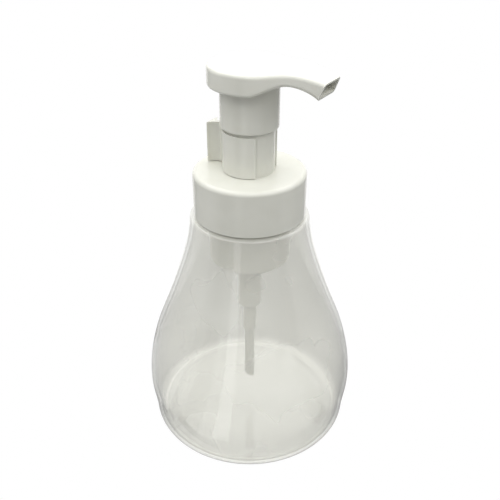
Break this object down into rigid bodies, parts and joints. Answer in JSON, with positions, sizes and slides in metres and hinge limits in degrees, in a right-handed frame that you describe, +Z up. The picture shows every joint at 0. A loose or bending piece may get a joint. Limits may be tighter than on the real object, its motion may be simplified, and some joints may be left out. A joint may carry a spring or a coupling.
{
  "type": "foaming soap pump dispenser",
  "caption": "Foaming hand-soap dispenser: clear pear-shaped bottle, screw-on foam pump with down-turned spout, dip tube and C-shaped lock clip.",
  "frame": {"origin": "centre of the bottle's standing ring, on the surface it stands on", "axes": "+Z up along the bottle's axis, +X along the spout at rest"},
  "size_m": [0.0944, 0.0944, 0.1696],
  "materials": {
    "clear_pet": "clear blow-moulded PET, glossy",
    "moulded_pp": "off-white injection-moulded polypropylene, satin gloss",
    "housing_pp": "off-white injection-moulded polypropylene, satin gloss",
    "soft_pe": "natural low-density polyethylene, satin",
    "tube_pe": "extruded polyethylene tube, satin",
    "foam_pe": "foamed polyethylene liner, matt",
    "silicone": "translucent silicone, matt",
    "nylon_mesh": "woven nylon monofilament",
    "steel": "bright stainless steel"
  },
  "bodies": {
    "bottle": {"bottle": "clear_pet"},
    "pump": {"pump_housing": "housing_pp", "neck_gasket": "foam_pe", "ball_cage": "moulded_pp", "dip_tube": "tube_pe"},
    "collar": {"screw_collar": "moulded_pp"},
    "clip": {"lock_clip": "moulded_pp"},
    "spring": {"return_spring": "steel"},
    "plunger": {"nozzle_head": "moulded_pp", "nozzle_stem": "moulded_pp", "mesh_holder": "moulded_pp", "lower_mesh": "nylon_mesh", "upper_mesh": "nylon_mesh", "piston_rod": "moulded_pp", "jet_insert": "moulded_pp", "liquid_piston": "soft_pe"},
    "air_piston": {"air_piston": "soft_pe", "air_intake_valve": "silicone"},
    "outlet_ball": {"outlet_ball": "steel"},
    "inlet_ball": {"inlet_ball": "steel"}
  },
  "joints": [
    {"name": "pump_lift", "type": "slide", "parent": "bottle", "child": "pump", "axis": [0, 0, 1], "range_m": [0, 0.006]},
    {"name": "collar_unscrew", "type": "hinge", "parent": "pump", "child": "collar", "pos_m": [0, 0, 0.1153], "axis": [0, 0, 1], "range_deg": [0, 540]},
    {"name": "clip_pull", "type": "slide", "parent": "collar", "child": "clip", "axis": [-1, 0, 0], "range_m": [0, 0.045], "deforming": ["lock_clip"]},
    {"name": "head_swivel", "type": "hinge", "parent": "pump", "child": "spring", "pos_m": [0, 0, 0.0768], "axis": [0, 0, 1], "continuous": true},
    {"name": "head_press", "type": "slide", "parent": "spring", "child": "plunger", "axis": [0, 0, -1], "range_m": [0, 0.017], "stiffness_N_per_m": 640, "springref_m": -0.0116, "deforming": ["return_spring"]},
    {"name": "air_piston_lag", "type": "slide", "parent": "plunger", "child": "air_piston", "axis": [0, 0, 1], "range_m": [0, 0.0007]},
    {"name": "outlet_ball_lift", "type": "slide", "parent": "plunger", "child": "outlet_ball", "axis": [0, 0, 1], "range_m": [0, 0.0012]},
    {"name": "inlet_ball_lift", "type": "slide", "parent": "pump", "child": "inlet_ball", "axis": [0, 0, 1], "range_m": [0, 0.0012]}
  ],
  "couplings": [
    {"joint": "collar_unscrew", "follows": "pump_lift", "rad_per_m": 1570.8}
  ]
}
